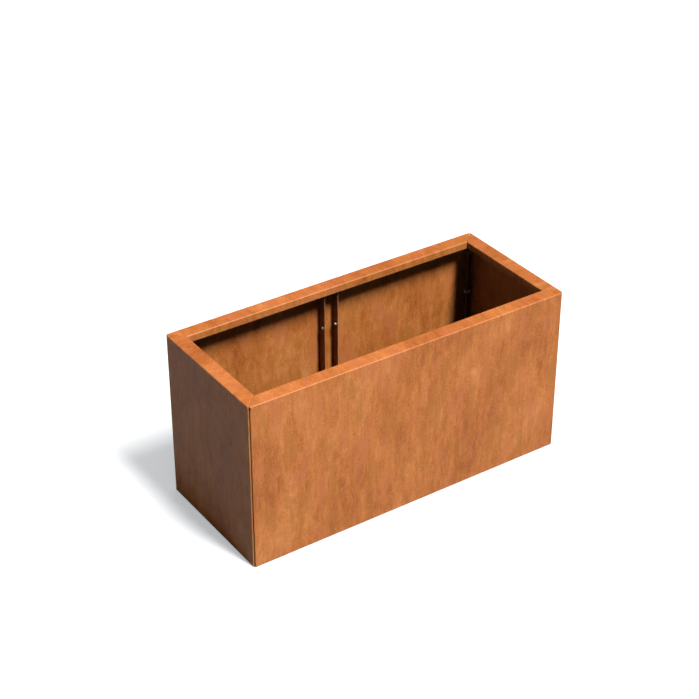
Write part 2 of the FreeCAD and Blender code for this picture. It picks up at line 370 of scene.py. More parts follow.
def store(mesh, name, kind, values):
    """Writes one value per vertex as a named attribute."""
    layer = mesh.attributes.new(name, kind, "POINT")
    if kind == "FLOAT_VECTOR":
        layer.data.foreach_set("vector", [number for value in values for number in value])
    else:
        layer.data.foreach_set("value", values)


def smooth_faces(mesh, sharp_degrees):
    """Smooth shading, with edges sharper than the angle left hard."""
    mesh.update()
    mesh.polygons.foreach_set("use_smooth", [True] * len(mesh.polygons))
    mesh.set_sharp_from_angle(angle=math.radians(sharp_degrees))


def add_piece(name, mesh, material, node):
    """A piece that stands for a CAD node and rides on the body."""
    mesh.materials.append(material)
    piece = bpy.data.objects.new(name, mesh)
    bpy.context.scene.collection.objects.link(piece)
    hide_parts(node)
    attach(piece, "root")
    return piece


# ------- bends

def bent_path(start, heading, stretches):
    """The outer line of a bent sheet, as a function of the distance along it. A stretch is
    (length, turn): straight if turn is 0, otherwise an arc to the left through that angle. The
    function returns the point and the unit normal into the sheet, on the line's left."""
    pieces = []
    point = Vector(start)
    angle = heading
    distance = 0.0
    for length, turn in stretches:
        pieces.append((distance, point.copy(), angle, turn / length))
        distance += length
        if turn == 0:
            point = point + Vector((math.cos(angle), math.sin(angle))) * length
        else:
            radius = length / turn
            centre = point + Vector((-math.sin(angle), math.cos(angle))) * radius
            angle += turn
            point = centre - Vector((-math.sin(angle), math.cos(angle))) * radius

    def at(s):
        index = max(i for i, piece in enumerate(pieces) if piece[0] <= max(s, 0.0) + 1e-9)
        begin, origin, angle, curve = pieces[index]
        run = s - begin
        if curve == 0:
            tangent = Vector((math.cos(angle), math.sin(angle)))
            return origin + tangent * run, Vector((-tangent.y, tangent.x))
        turned = angle + run * curve
        centre = origin + Vector((-math.sin(angle), math.cos(angle))) / curve
        normal = Vector((-math.sin(turned), math.cos(turned)))
        return centre - normal / curve, normal

    return at


QUARTER = BEND * math.pi / 2.0
CORNER_ARC = BEND * math.radians(135.0)
CORNER_TANGENT = BEND * math.tan(math.radians(67.5))

# Distances across a panel, from the lip's lower edge over the rim and down the wall to the foot.
LIP_FOLD = LIP_DEPTH - BEND
RIM_START = LIP_FOLD + QUARTER
RIM_END = RIM_START + RIM_WIDTH - 2.0 * BEND
WALL_START = RIM_END + QUARTER
WALL_END = WALL_START + HEIGHT - 2.0 * BEND
FOOT_START = WALL_END + QUARTER
FOOT_END = FOOT_START + FOOT_WIDTH - BEND


def wall_row(z):
    """Where a height on the wall lies across the panel."""
    return WALL_START + (HEIGHT - BEND) - z


def panel_section():
    """Lip, rim, wall and foot as (inwards from the wall's outer face, up)."""
    quarter = math.radians(90.0)
    return bent_path((RIM_WIDTH, HEIGHT - LIP_DEPTH), quarter, [
        (LIP_FOLD, 0.0),
        (QUARTER, quarter),
        (RIM_WIDTH - 2.0 * BEND, 0.0),
        (QUARTER, quarter),
        (HEIGHT - 2.0 * BEND, 0.0),
        (QUARTER, quarter),
        (FOOT_WIDTH - BEND, 0.0),
    ])


class Panel:
    """One folded panel of the planter. The pattern's u runs along it, from its middle."""

    def __init__(self, length, stiffened):
        self.half = length / 2.0
        self.stiffened = stiffened
        self.fold = self.half - GROOVE_SETBACK - CORNER_TANGENT
        self.slot = self.fold - RELIEF_MARGIN
        self.flange = self.fold + CORNER_ARC
        self.tip = self.flange + FLANGE_REACH - CORNER_TANGENT
        self.bolt = self.flange + CORNER_BOLT_REACH - CORNER_GROOVE / 2.0 - CORNER_TANGENT
        self.section = panel_section()
        self.end = bent_path((0.0, 0.0), 0.0, [
            (self.fold, 0.0),
            (CORNER_ARC, math.radians(135.0)),
            (FLANGE_REACH, 0.0),
        ])
        self.mitre = self.half - MITRE_SETBACK
        self.top = wall_row(HEIGHT - FLANGE_END_CLEARANCE)
        self.bottom = wall_row(FLANGE_END_CLEARANCE)

    def beside_flange(self, v):
        """Whether a row belongs to the stretch of wall that has corner flanges."""
        margin = RELIEF_HEIGHT / 3.0
        return self.top - margin < v < self.bottom + margin

    def columns(self):
        """Grid lines along the panel, the same on both sides of its middle."""
        return mirrored(chain(0.0, [
            (self.half - END_STRETCH, WALL_CELL),
            (self.slot - EDGE_GUARD, WALL_CELL),
            (self.slot, EDGE_GUARD),
            (self.fold, RELIEF_MARGIN),
            (self.flange, BEND_CELL),
            (self.bolt - HOLE_BLOCK, FLANGE_CELL),
            (self.bolt + HOLE_BLOCK, HOLE_CELL),
            (self.tip - EDGE_GUARD, FLANGE_CELL),
            (self.tip, EDGE_GUARD),
        ]))

    def rows(self):
        """Grid lines across the panel."""
        low = FLANGE_END_CLEARANCE
        high = HEIGHT - low
        stretches = [
            (EDGE_GUARD, EDGE_GUARD),
            (LIP_FOLD, WALL_CELL),
            (RIM_START, BEND_CELL),
            (RIM_END, RIM_CELL),
            (WALL_START, BEND_CELL),
            (wall_row(high + RELIEF_HEIGHT), FLANGE_CELL),
            (wall_row(high), RELIEF_HEIGHT),
            (wall_row(high - FLANGE_CHAMFER), FLANGE_CELL),
        ]
        for z in reversed(CORNER_BOLT_HEIGHTS):
            stretches.append((wall_row(z + HOLE_BLOCK), WALL_CELL))
            stretches.append((wall_row(z - HOLE_BLOCK), HOLE_CELL))
        stretches += [
            (wall_row(low + FLANGE_CHAMFER), WALL_CELL),
            (wall_row(low), FLANGE_CELL),
            (wall_row(low - RELIEF_HEIGHT), RELIEF_HEIGHT),
            (WALL_END, FLANGE_CELL),
            (FOOT_START, BEND_CELL),
            (FOOT_END - EDGE_GUARD, WALL_CELL),
            (FOOT_END, EDGE_GUARD),
        ]
        return chain(0.0, stretches)

    def pattern(self):
        columns = self.columns()
        rows = self.rows()

        def keep(i, j):
            """Whether a cell is inside the pattern."""
            u = abs(columns[i] + columns[i + 1]) / 2.0
            v = (rows[j] + rows[j + 1]) / 2.0
            if self.beside_flange(v):
                return True
            in_relief = self.top - RELIEF_HEIGHT < v < self.bottom + RELIEF_HEIGHT
            return u < (self.slot if in_relief else self.fold)

        holes = []
        for side in (-1, 1):
            for z in CORNER_BOLT_HEIGHTS:
                holes.append(((side * self.bolt, wall_row(z)), M8.hole_radius))
        return Pattern(columns, rows, keep, self.place, holes)

    def place(self, u, v, depth):
        """Trims the pattern's ends: mitres on the rim, lip and foot, and chamfered flange tips."""
        if self.beside_flange(v):
            return math.copysign(self.chamfered(abs(u), v), u), v
        return math.copysign(self.mitred(abs(u), v, depth), u), v

    def chamfered(self, reach, v):
        """A flange's reach, shortened towards its top and bottom corners."""
        start = self.flange + EDGE_GUARD
        cut = max(self.top + FLANGE_CHAMFER - v, v - self.bottom + FLANGE_CHAMFER, 0.0)
        if reach < start or cut == 0.0:
            return reach
        return start + (reach - start) * (self.tip - cut - start) / (self.tip - start)

    def mitred(self, reach, v, depth):
        """The reach of the rim, lip or foot, shortened to the diagonal, with the corner of the
        footprint rounded. The last cell keeps its width, and those before it take up the rest."""
        point, normal = self.section(v)
        inwards = (point + normal * depth).x
        end = self.mitre - inwards
        if inwards < BEND * (1.0 + math.sqrt(0.5)):
            rise = math.sqrt(max(BEND ** 2 - (BEND - inwards) ** 2, 0.0))
            end = self.mitre - CORNER_TANGENT + rise
        if reach >= self.slot:
            return end - (self.fold - reach)
        far = min(max((inwards - BEND) / (RIM_WIDTH - 2.0 * BEND), 0.0), 1.0)
        start = self.slot - EDGE_GUARD - far * MITRE_EASE
        if reach < start:
            return reach
        last = end - RELIEF_MARGIN
        return start + (reach - start) * (last - start) / (self.slot - start)

    def bend(self, u, v, depth):
        """A point of the pattern on the folded panel, as if it were the front one."""
        side = math.copysign(1.0, u)
        point, normal = self.section(v)
        across = point + normal * depth
        if self.beside_flange(v) and abs(u) > self.fold:
            plan, plan_normal = self.end(abs(u))
            corner = plan + plan_normal * depth
            return Vector((side * corner.x, corner.y, across.y))
        wave = self.wave(u, across.y) if WALL_START < v < WALL_END else 0.0
        return Vector((u, across.x + wave, across.y))

    def wave(self, u, z):
        """How far the wall stands in or out, as hand-folded sheet does between its folds."""
        fade = smooth_step(BEND, 90.0 * MM, z) * smooth_step(BEND, 90.0 * MM, HEIGHT - z)
        fade *= smooth_step(0.0, 120.0 * MM, self.slot - abs(u))
        if self.stiffened:
            fade *= smooth_step(CHANNEL_HALF_WIDTH + 2.0 * MM, 120.0 * MM, abs(u))
        swell = math.sin(u * 13.0 + 0.7) * math.sin(z * 9.5 + 0.4)
        swell += 0.5 * math.sin(u * 31.0 + z * 17.0)
        return WAVE * fade * swell / 1.5

    def marks(self, u, v):
        """How far into a fold, and how deep in the corner groove, a point is."""
        fold = 0.0
        for start in (LIP_FOLD, RIM_END, WALL_END):
            middle = start + QUARTER / 2.0
            fold = max(fold, 1.0 - smooth_step(0.25 * QUARTER, 0.6 * QUARTER, abs(v - middle)))
        groove = 0.0
        if self.beside_flange(v):
            middle = self.fold + CORNER_ARC / 3.0
            reach = abs(abs(u) - middle)
            fold = max(fold, 1.0 - smooth_step(0.2 * CORNER_ARC, 0.45 * CORNER_ARC, reach))
            groove = smooth_step(0.55 * CORNER_ARC, CORNER_ARC, abs(u) - self.fold)
        return fold, groove


def build_panel(side, length, offset, turn, stiffened, shift, material):
    """A folded panel, moved out to its side of the planter and turned about +Z."""
    name = side + "_panel_sheet"
    panel = Panel(length, stiffened)
    c, s = round(math.cos(turn)), round(math.sin(turn))

    def bend(u, v, depth):
        p = panel.bend(u, v, depth)
        y = p.y - offset
        return (c * p.x - s * y, s * p.x + c * y, p.z)

    mesh = sheet_mesh(name, panel.pattern(), bend, panel.marks, shift)
    return add_piece(name, mesh, material, side + "_panel")


# ------- stiffener channels

class Channel:
    """A U channel. The pattern's u runs round its section from the web's middle, v runs down."""

    def __init__(self):
        quarter = math.radians(90.0)
        self.fold = CHANNEL_HALF_WIDTH - BEND
        self.flange = self.fold + QUARTER
        self.tip = self.flange + CHANNEL_DEPTH - BEND
        self.height = CHANNEL_TOP - CHANNEL_BOTTOM
        self.bolt = self.tip - BRACE_BOLT_EDGE
        self.section = bent_path((0.0, 0.0), 0.0, [
            (self.fold, 0.0),
            (QUARTER, quarter),
            (CHANNEL_DEPTH, 0.0),
        ])

    def spots(self):
        """The depth of each spot weld below the top of the channel."""
        return [self.height * (i + 0.5) / SPOT_COUNT for i in range(SPOT_COUNT)]

    def pattern(self):
        columns = mirrored(chain(0.0, [
            (HOLE_BLOCK, HOLE_CELL),
            (self.fold, CHANNEL_CELL),
            (self.flange, BEND_CELL),
            (self.bolt - HOLE_BLOCK, CHANNEL_CELL),
            (self.bolt + HOLE_BLOCK, HOLE_CELL),
            (self.tip - EDGE_GUARD / 2.0, EDGE_GUARD),
            (self.tip, EDGE_GUARD),
        ]))
        bolt_row = CHANNEL_TOP - BRACE_BOLT_HEIGHT
        stretches = [(EDGE_GUARD, EDGE_GUARD)]
        for centre in sorted(self.spots() + [bolt_row]):
            if centre - HOLE_BLOCK > stretches[-1][0]:
                stretches.append((centre - HOLE_BLOCK, WALL_CELL))
            stretches.append((centre + HOLE_BLOCK, HOLE_CELL))
        stretches += [(self.height - EDGE_GUARD, WALL_CELL), (self.height, EDGE_GUARD)]
        rows = chain(0.0, stretches)
        holes = [((side * self.bolt, bolt_row), M5.hole_radius) for side in (-1, 1)]
        dents = [((0.0, v), SPOT_RADIUS) for v in self.spots()]
        return Pattern(columns, rows, lambda i, j: True, lambda u, v, depth: (u, v), holes, dents)

    def dent(self, u, v):
        """How far a spot weld presses the web's inner face in."""
        nearest = min(math.hypot(u, v - spot) for spot in self.spots())
        return SPOT_DEPTH * max(0.0, 1.0 - (nearest / SPOT_RADIUS) ** 2)

    def bend(self, u, v, depth):
        """A point of the pattern on the channel, with its web's outer face at y = 0."""
        point, normal = self.section(abs(u))
        p = point + normal * (depth - (self.dent(u, v) if depth > SHEET / 2.0 else 0.0))
        return Vector((math.copysign(p.x, u), p.y, CHANNEL_TOP - v))

    def marks(self, u, v):
        middle = self.fold + QUARTER / 2.0
        fold = 1.0 - smooth_step(0.25 * QUARTER, 0.6 * QUARTER, abs(abs(u) - middle))
        return fold, 0.0


def build_channel(side, y_side, shift, material):
    name = side + "_stiffener_channel"
    channel = Channel()

    def bend(u, v, depth):
        p = channel.bend(u, v, depth)
        return (-y_side * p.x, y_side * (DEPTH / 2.0 - SHEET - p.y), p.z)

    mesh = sheet_mesh(name, channel.pattern(), bend, channel.marks, shift)
    return add_piece(name, mesh, material, side + "_stiffener")


# ------- base plate

def build_base(material):
    """A flat plate with chamfered corners and six drainage holes. Its outer face is its top."""
    block = HOLE_CELLS / 2 * DRAIN_CELL
    holes = [((x * DRAIN_X, y * DRAIN_Y), DRAIN_RADIUS) for x in (-1, 0, 1) for y in (-1, 1)]

    def lines(half, centres):
        inner = half - BASE_CHAMFER
        stretches = [(-half + EDGE_GUARD, EDGE_GUARD), (-inner, BASE_CHAMFER)]
        for centre in centres:
            stretches += [(centre - block, BASE_CELL), (centre + block, DRAIN_CELL)]
        stretches += [(inner, BASE_CELL), (half - EDGE_GUARD, BASE_CHAMFER), (half, EDGE_GUARD)]
        return chain(-half, stretches)

    def place(u, v, depth):
        """Pulls the ends of the outermost rows in to the corner chamfers."""
        near = max(abs(v) - BASE_HALF_Y + BASE_CHAMFER, 0.0)
        start = BASE_HALF_X - 2.0 * BASE_CHAMFER
        reach = abs(u)
        if reach > start:
            reach = start + (reach - start) * (BASE_HALF_X - near - start) / (BASE_HALF_X - start)
        return math.copysign(reach, u), v

    def bend(u, v, depth):
        return (u, -v, BASE_HEIGHT + SHEET - depth)

    columns = lines(BASE_HALF_X, [-DRAIN_X, 0.0, DRAIN_X])
    rows = lines(BASE_HALF_Y, [-DRAIN_Y, DRAIN_Y])
    pattern = Pattern(columns, rows, lambda i, j: True, place, holes)
    mesh = sheet_mesh("base_plate_sheet", pattern, bend, lambda u, v: (0.0, 0.0), (31.0, 7.0, 2.0))
    return add_piece("base_plate_sheet", mesh, material, "base_plate")


# ------- fasteners
# A fastener is drawn on +Z: its seat, the face against the washer, is at height 0.

def hex_radius(size, angle):
    """The distance from the middle of a hexagon to its side, at an angle."""
    third = math.radians(60.0)
    return size.across_flats / 2.0 / math.cos((angle % third) - third / 2.0)


def face_radius(size):
    """The radius of the flat left by a hexagon's chamfer."""
    return HEX_CHAMFER_FACE * size.across_flats / 2.0


def hex_drop(size, angle):
    """How far a hexagon's chamfer cuts down its side, at an angle."""
    return max(hex_radius(size, angle) - face_radius(size), 0.0) * HEX_CHAMFER_SLOPE


def turned(rows, steps, closed):
    """Vertices and faces of rows of (radius, height) functions of the angle, from the outside of
    the seat upwards. A closed body joins its last row to its first; an open one ends in points."""
    vertices, faces = [], []
    for radius, height in rows:
        for i in range(steps):
            angle = math.tau * i / steps
            r = radius(angle)
            vertices.append((r * math.cos(angle), r * math.sin(angle), height(angle)))
    count = len(rows)
    for j in range(count if closed else count - 1):
        k = (j + 1) % count
        for i in range(steps):
            n = (i + 1) % steps
            faces.append((j * steps + i, j * steps + n, k * steps + n, k * steps + i))
    if not closed:
        for j, flip in ((0, True), (count - 1, False)):
            middle = len(vertices)
            vertices.append((0.0, 0.0, rows[j][1](0.0)))
            for i in range(steps):
                n = (i + 1) % steps
                a, b = j * steps + i, j * steps + n
                faces.append((b, a, middle) if flip else (a, b, middle))
    return vertices, faces


def fixed(value):
    return lambda angle: value


def bolt_head(size):
    """A hexagon head with its top corners chamfered and a softened edge at its seat."""
    top = size.head_height
    face = face_radius(size)
    side = partial(hex_radius, size)
    return turned([
        (lambda a: side(a) - SOFT_EDGE, fixed(0.0)),
        (side, fixed(SOFT_EDGE)),
        (side, lambda a: top - hex_drop(size, a)),
        (fixed(face), fixed(top)),
        (fixed(face * 0.9), fixed(top - SOFT_EDGE / 4.0)),
    ], TURN_STEPS, False)


def thread_radius(size, angle, depth, length):
    """The radius of the shank at a depth below the seat, on a helical V thread."""
    phase = (depth / size.pitch - angle / math.tau) % 1.0
    cut = size.thread_depth * max(0.0, 1.0 - abs(phase - 0.5) / 0.42)
    cut *= smooth_step(THREAD_START - 0.4 * MM, THREAD_START + size.pitch, depth)
    point = size.bolt_radius - size.thread_depth + max(0.0, length - depth)
    return min(size.bolt_radius - cut, point)


def bolt_shank(size, length):
    """A threaded shank below the seat, with a chamfered point."""
    count = math.ceil(length / size.pitch * THREAD_ROWS_PER_PITCH)
    rows = []
    for i in range(count + 1):
        depth = length * (1.0 - i / count)
        rows.append((lambda a, d=depth: thread_radius(size, a, d, length), fixed(-depth)))
    return turned(rows, THREAD_STEPS, False)


def nut(size):
    """A hexagon nut, chamfered at both ends, with a countersunk bore."""
    top = size.nut_height
    bore = size.bore_radius
    sink = size.thread_depth
    face = face_radius(size)
    side = partial(hex_radius, size)
    return turned([
        (fixed(bore), fixed(top - sink)),
        (fixed(bore), fixed(sink)),
        (fixed(bore + sink), fixed(0.0)),
        (fixed(face), fixed(0.0)),
        (side, partial(hex_drop, size)),
        (side, lambda a: top - hex_drop(size, a)),
        (fixed(face), fixed(top)),
        (fixed(bore + sink), fixed(top)),
    ], TURN_STEPS, True)


def washer(size):
    """A flat ring with rounded edges."""
    low = SOFT_EDGE
    high = size.washer_thickness - SOFT_EDGE
    bore = size.washer_bore_radius
    radius = size.washer_radius
    profile = [
        (bore, high), (bore, low), (bore + SOFT_EDGE, 0.0), (radius - SOFT_EDGE, 0.0),
        (radius, low), (radius, high), (radius - SOFT_EDGE, high + SOFT_EDGE),
        (bore + SOFT_EDGE, high + SOFT_EDGE),
    ]
    return turned([(fixed(r), fixed(z)) for r, z in profile], TURN_STEPS, True)


def joined(shapes):
    """Several shapes' vertices and faces as one."""
    vertices, faces = [], []
    for points, cells in shapes:
        offset = len(vertices)
        vertices += points
        faces += [tuple(offset + p for p in cell) for cell in cells]
    return vertices, faces


def bolt(size, length):
    return joined([bolt_head(size), bolt_shank(size, length)])


def set_on(shape, seat, direction, turn):
    """A fastener's vertices turned on their own axis, then set with the seat on a point."""
    spin = Vector((0, 0, 1)).rotation_difference(direction).to_matrix()
    c, s = math.cos(turn), math.sin(turn)
    placed = []
    for x, y, z in shape[0]:
        placed.append(tuple(seat + spin @ Vector((c * x - s * y, s * x + c * y, z))))
    return placed, shape[1]


def build_group(name, node, placed, material):
    """One piece of several separate fasteners, each with its own patch of the finish."""
    vertices, faces = joined(placed)
    coords = []
    for i, (points, cells) in enumerate(placed):
        coords += [(x + 0.37 * i, y + 0.11 * i, z) for x, y, z in points]
    mesh = bpy.data.meshes.new(name)
    mesh.from_pydata(vertices, [], faces)
    store(mesh, "pattern", "FLOAT_VECTOR", coords)
    smooth_faces(mesh, 28.0)
    return add_piece(name, mesh, material, node)


def build_joints(place, size, length, joints, material):
    """Bolts, nuts and washers for joints given as (middle, direction of the bolt head, thickness
    of the sheets, gap between them). A gap holds a washer."""
    bolts, nuts, washers = [], [], []
    for i, (middle, direction, sheets, gap) in enumerate(joints):
        turn = i * HEX_TURN
        face = direction * ((sheets + gap) / 2.0)
        seat = face + direction * size.washer_thickness
        bolts.append(set_on(bolt(size, length), middle + seat, direction, turn))
        nuts.append(set_on(nut(size), middle - seat, -direction, 2.0 * turn))
        washers.append(set_on(washer(size), middle + face, direction, turn))
        washers.append(set_on(washer(size), middle - face, -direction, turn))
        if gap > 0.0:
            washers.append(set_on(washer(size), middle - direction * (gap / 2.0), direction, turn))
    build_group(place + "_hex_bolts", place + "_bolts", bolts, material)
    build_group(place + "_hex_nuts", place + "_nuts", nuts, material)
    build_group(place + "_flat_washers", place + "_washers", washers, material)


def build_corner(name, x_side, y_side, material):
    """The bolted joints of one corner, with their heads on the long panel's side."""
    corner = Vector((x_side * LENGTH / 2.0, y_side * DEPTH / 2.0, 0.0))
    along = Vector((-x_side, -y_side, 0.0)).normalized()
    direction = Vector((-x_side, y_side, 0.0)).normalized()
    joints = []
    for height in CORNER_BOLT_HEIGHTS:
        middle = corner + along * CORNER_BOLT_REACH + Vector((0, 0, height))
        joints.append((middle, direction, 2.0 * SHEET, CORNER_GROOVE))
    build_joints(name + "_corner", M8, CORNER_BOLT_LENGTH, joints, material)


def build_brace(name, y_side, material):
    """The bolts in a channel's two flanges, with their heads outside the channel."""
    y = y_side * (DEPTH / 2.0 - SHEET - CHANNEL_DEPTH + BRACE_BOLT_EDGE)
    joints = []
    for x_side in (-1, 1):
        middle = Vector((x_side * (CHANNEL_HALF_WIDTH - SHEET / 2.0), y, BRACE_BOLT_HEIGHT))
        joints.append((middle, Vector((x_side, 0, 0)), SHEET, 0.0))
    build_joints(name + "_brace", M5, BRACE_BOLT_LENGTH, joints, material)


# ------- material helpers

# A noise's scale is in 1/m: along a sheet's pattern, across it, and through its depth.
Grain = namedtuple("Grain", ["scale", "detail", "roughness", "distortion"], defaults=[0.0])

# The colour sockets of a mix node.
MIX_A, MIX_B, MIX_RESULT = 6, 7, 2


class Nodes:
    """The node tree of a material or world, with short ways to add and join nodes."""

    def __init__(self, owner):
        owner.use_nodes = True
        self.owner = owner
        self.tree = owner.node_tree
        self.tree.nodes.clear()

    def add(self, kind, **settings):
        made = self.tree.nodes.new("ShaderNode" + kind)
        for key, value in settings.items():
            setattr(made, key, value)
        return made

    def feed(self, socket, value):
        """Links a socket to an output, or sets it to a number or colour."""
        if isinstance(value, bpy.types.NodeSocket):
            self.tree.links.new(value, socket)
        else:
            socket.default_value = value

    def math(self, operation, a, b=0.0, c=0.0, clamp=False):
        made = self.add("Math", operation=operation, use_clamp=clamp)
        for socket, value in zip(made.inputs, (a, b, c)):
            self.feed(socket, value)
        return made.outputs[0]

    def attribute(self, name, vector=False):
        made = self.add("Attribute", attribute_name=name)
        return made.outputs["Vector" if vector else "Fac"]

    def noise(self, coords, grain):
        """Noise that varies about 0."""
        stretch = self.add("VectorMath", operation="MULTIPLY")
        self.feed(stretch.inputs[0], coords)
        stretch.inputs[1].default_value = grain.scale
        made = self.add("TexNoise", noise_dimensions="3D")
        self.feed(made.inputs["Vector"], stretch.outputs[0])
        made.inputs["Scale"].default_value = 1.0
        made.inputs["Detail"].default_value = grain.detail
        made.inputs["Roughness"].default_value = grain.roughness
        made.inputs["Distortion"].default_value = grain.distortion
        return self.math("SUBTRACT", made.outputs["Fac"], 0.5)

    def ramp(self, factor, stops):
        made = self.add("ValToRGB")
        elements = made.color_ramp.elements
        while len(elements) < len(stops):
            elements.new(0.5)
        for element, (position, colour) in zip(elements, stops):
            element.position = position
            element.color = (*colour, 1.0)
        self.feed(made.inputs[0], factor)
        return made.outputs[0]

    def range(self, value, low, high, out_low=0.0, out_high=1.0, curve="SMOOTHSTEP"):
        made = self.add("MapRange", interpolation_type=curve)
        for socket, number in zip(made.inputs, (value, low, high, out_low, out_high)):
            self.feed(socket, number)
        return made.outputs[0]

    def mix(self, factor, a, b, blend="MIX"):
        made = self.add("Mix", data_type="RGBA", blend_type=blend, clamp_factor=True)
        self.feed(made.inputs[0], factor)
        for index, value in ((MIX_A, a), (MIX_B, b)):
            plain = not isinstance(value, bpy.types.NodeSocket)
            self.feed(made.inputs[index], (*value, 1.0) if plain else value)
        return made.outputs[MIX_RESULT]

    def bump(self, height, distance, strength, normal=None):
        made = self.add("Bump")
        made.inputs["Strength"].default_value = strength
        made.inputs["Distance"].default_value = distance
        self.feed(made.inputs["Height"], height)
        if normal is not None:
            self.feed(made.inputs["Normal"], normal)
        return made.outputs[0]

    def height(self, coords):
        """The Z of a vector."""
        split = self.add("SeparateXYZ")
        self.feed(split.inputs[0], coords)
        return split.outputs["Z"]

    def shader(self, kind, **inputs):
        made = self.add(kind)
        for name, value in inputs.items():
            self.feed(made.inputs[name.replace("_", " ")], value)
        return made.outputs[0]

    def surface(self, **inputs):
        """Ends the tree in a plain surface."""
        out = self.add("OutputMaterial")
        self.feed(out.inputs[0], self.shader("BsdfPrincipled", **inputs))
        return self.owner

    def split_by_camera(self, seen, unseen, output):
        """Ends the tree in one shader for the camera and another for all other rays."""
        choose = self.add("MixShader")
        self.feed(choose.inputs[0], self.add("LightPath").outputs["Is Camera Ray"])
        self.feed(choose.inputs[1], unseen)
        self.feed(choose.inputs[2], seen)
        self.feed(self.add(output).inputs[0], choose.outputs[0])
        return self.owner


# ------- weathering steel

RUST_DARKEST = (0.34, 0.082, 0.009)
RUST_DARK = (0.485, 0.136, 0.021)
RUST = (0.60, 0.184, 0.033)
RUST_LIGHT = (0.695, 0.236, 0.056)
RUST_LIGHTEST = (0.81, 0.325, 0.110)
RUST_ROSE = (0.62, 0.188, 0.058)
RUST_OLIVE = (0.52, 0.176, 0.029)
RUST_FLECK = (0.20, 0.06, 0.018)
RUST_SPOT = (0.84, 0.36, 0.135)
# Painted shade laid over faces that look up.
UPWARD_PAINTED_SHADE = (0.86, 0.765, 0.66)
CUT_EDGE = (0.56, 0.29, 0.12)
# Painted shade for the inside of the corner grooves.
GROOVE_PAINTED_SHADE = (0.30, 0.088, 0.02)
DUST = (0.30, 0.17, 0.09)


CLOUDS = Grain((4.6, 2.8, 5.0), 3.0, 0.6, 0.2)
RUNS = Grain((22.0, 3.6, 6.0), 3.0, 0.65, 0.15)
PATCHES = Grain((34.0, 12.0, 9.0), 3.0, 0.6, 0.2)
MOTTLE = Grain((74.0, 26.0, 20.0), 5.0, 0.75, 0.15)
FINE = Grain((240.0, 130.0, 60.0), 5.0, 0.8)
HUE = Grain((12.0, 4.5, 8.0), 4.0, 0.68, 0.15)
STREAKS = Grain((58.0, 8.0, 20.0), 3.0, 0.7)
FLECKS = Grain((190.0, 62.0, 40.0), 2.0, 0.6)
SPOTS = Grain((150.0, 90.0, 30.0), 2.0, 0.6)
SETTLED_DUST = Grain((14.0, 14.0, 9.0), 6.0, 0.7)
SCALE_RELIEF = Grain((120.0, 70.0, 60.0), 3.0, 0.6)
PIT_RELIEF = Grain((420.0, 300.0, 200.0), 4.0, 0.75)

# How strongly each grain moves the patina between its darkest and lightest shades.
SHADES = [(CLOUDS, 1.00), (RUNS, 0.62), (PATCHES, 0.55), (MOTTLE, 0.72), (FINE, 1.00)]
SHADE_STOPS = [(0.12, RUST_DARKEST), (0.36, RUST_DARK), (0.5, RUST), (0.64, RUST_LIGHT),
               (0.88, RUST_LIGHTEST)]

# Tints laid over the shades: from none where the grain is at the first level, up to the strength
# where it is at the second.
TINTS = [
    (HUE, 0.0, 0.15, 0.80, RUST_ROSE),
    (HUE, 0.0, -0.15, 0.80, RUST_OLIVE),
    (STREAKS, 0.08, 0.15, 0.45, RUST_LIGHT),
    (STREAKS, -0.08, -0.15, 0.45, RUST_DARK),
    (FLECKS, -0.15, -0.24, 0.65, RUST_FLECK),
    (SPOTS, 0.14, 0.22, 0.60, RUST_SPOT),
]
RUST_ROUGHNESS = 0.56
RUST_SPECULAR = 0.75


def patina(n, coords):
    """The colour of the rust: clouds and upright runs of darker and lighter orange, rose and
    olive patches, fine grain, streaks, flecks and spots."""
    value = 0.5
    for grain, strength in SHADES:
        value = n.math("MULTIPLY_ADD", n.noise(coords, grain), strength, value)
    colour = n.ramp(value, SHADE_STOPS)
    for grain, start, end, strength, tint in TINTS:
        amount = n.range(n.noise(coords, grain), start, end, 0.0, strength)
        colour = n.mix(amount, colour, tint)
    return colour


